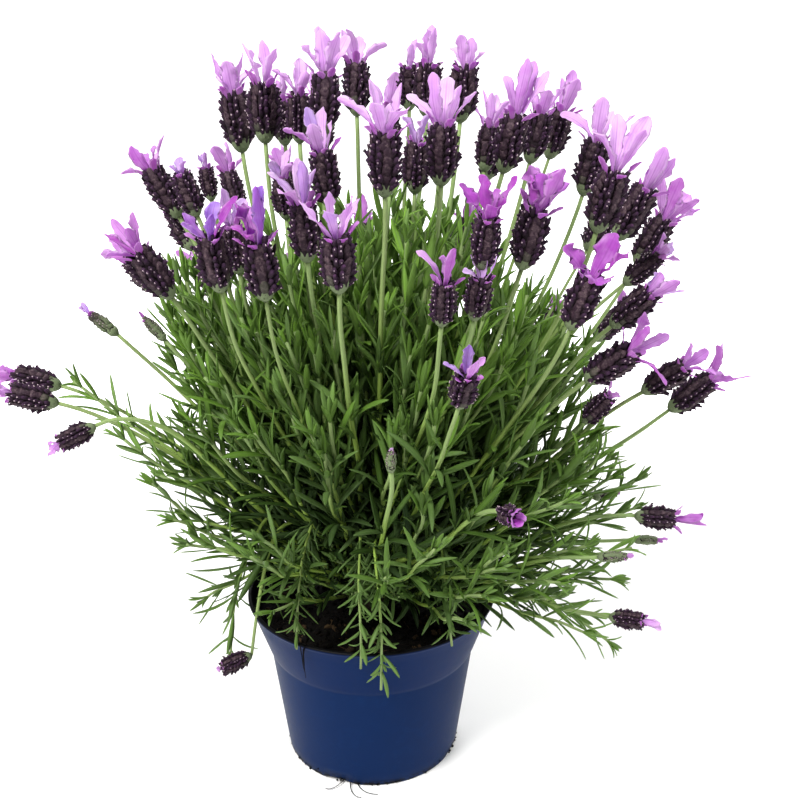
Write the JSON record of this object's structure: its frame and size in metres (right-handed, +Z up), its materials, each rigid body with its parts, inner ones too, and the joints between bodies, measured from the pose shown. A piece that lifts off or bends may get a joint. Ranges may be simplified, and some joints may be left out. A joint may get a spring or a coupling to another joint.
{
  "type": "potted lavender",
  "caption": "Flowering Spanish lavender in a tapered plastic nursery pot: dark flower spikes with violet bracts on square green stems.",
  "frame": {"origin": "centre of the pot's underside, on the surface that the pot stands on", "axes": "+Z up along the pot's axis; -Y is the side that faces the viewer"},
  "size_m": [0.4446, 0.3815, 0.4308],
  "materials": {
    "pot_plastic": "satin",
    "soil": "matte",
    "woody_stem": "matte",
    "foliage": "matte",
    "flower": "matte"
  },
  "bodies": {
    "root": {"pot": "pot_plastic", "potting_soil": "soil", "woody_crown": "woody_stem", "shoot_01": "foliage", "flower_head_01": "flower", "shoot_02": "foliage", "flower_head_02": "flower", "shoot_03": "foliage", "flower_head_03": "flower", "shoot_04": "foliage", "flower_head_04": "flower", "shoot_05": "foliage", "flower_head_05": "flower", "shoot_06": "foliage", "flower_head_06": "flower", "shoot_07": "foliage", "flower_head_07": "flower", "shoot_08": "foliage", "flower_head_08": "flower", "shoot_09": "foliage", "flower_head_09": "flower", "shoot_10": "foliage", "flower_head_10": "flower", "shoot_11": "foliage", "flower_head_11": "flower", "shoot_12": "foliage", "flower_head_12": "flower", "shoot_13": "foliage", "flower_head_13": "flower", "shoot_14": "foliage", "flower_head_14": "flower", "shoot_15": "foliage", "flower_head_15": "flower", "shoot_16": "foliage", "flower_head_16": "flower", "shoot_17": "foliage", "flower_head_17": "flower", "shoot_18": "foliage", "flower_head_18": "flower", "shoot_19": "foliage", "flower_head_19": "flower", "shoot_20": "foliage", "flower_head_20": "flower", "shoot_21": "foliage", "flower_head_21": "flower", "shoot_22": "foliage", "flower_head_22": "flower", "shoot_23": "foliage", "flower_head_23": "flower", "shoot_24": "foliage", "flower_head_24": "flower", "shoot_25": "foliage", "flower_head_25": "flower", "shoot_26": "foliage", "flower_head_26": "flower", "shoot_27": "foliage", "flower_head_27": "flower", "shoot_28": "foliage", "flower_head_28": "flower"}
  },
  "joints": []
}
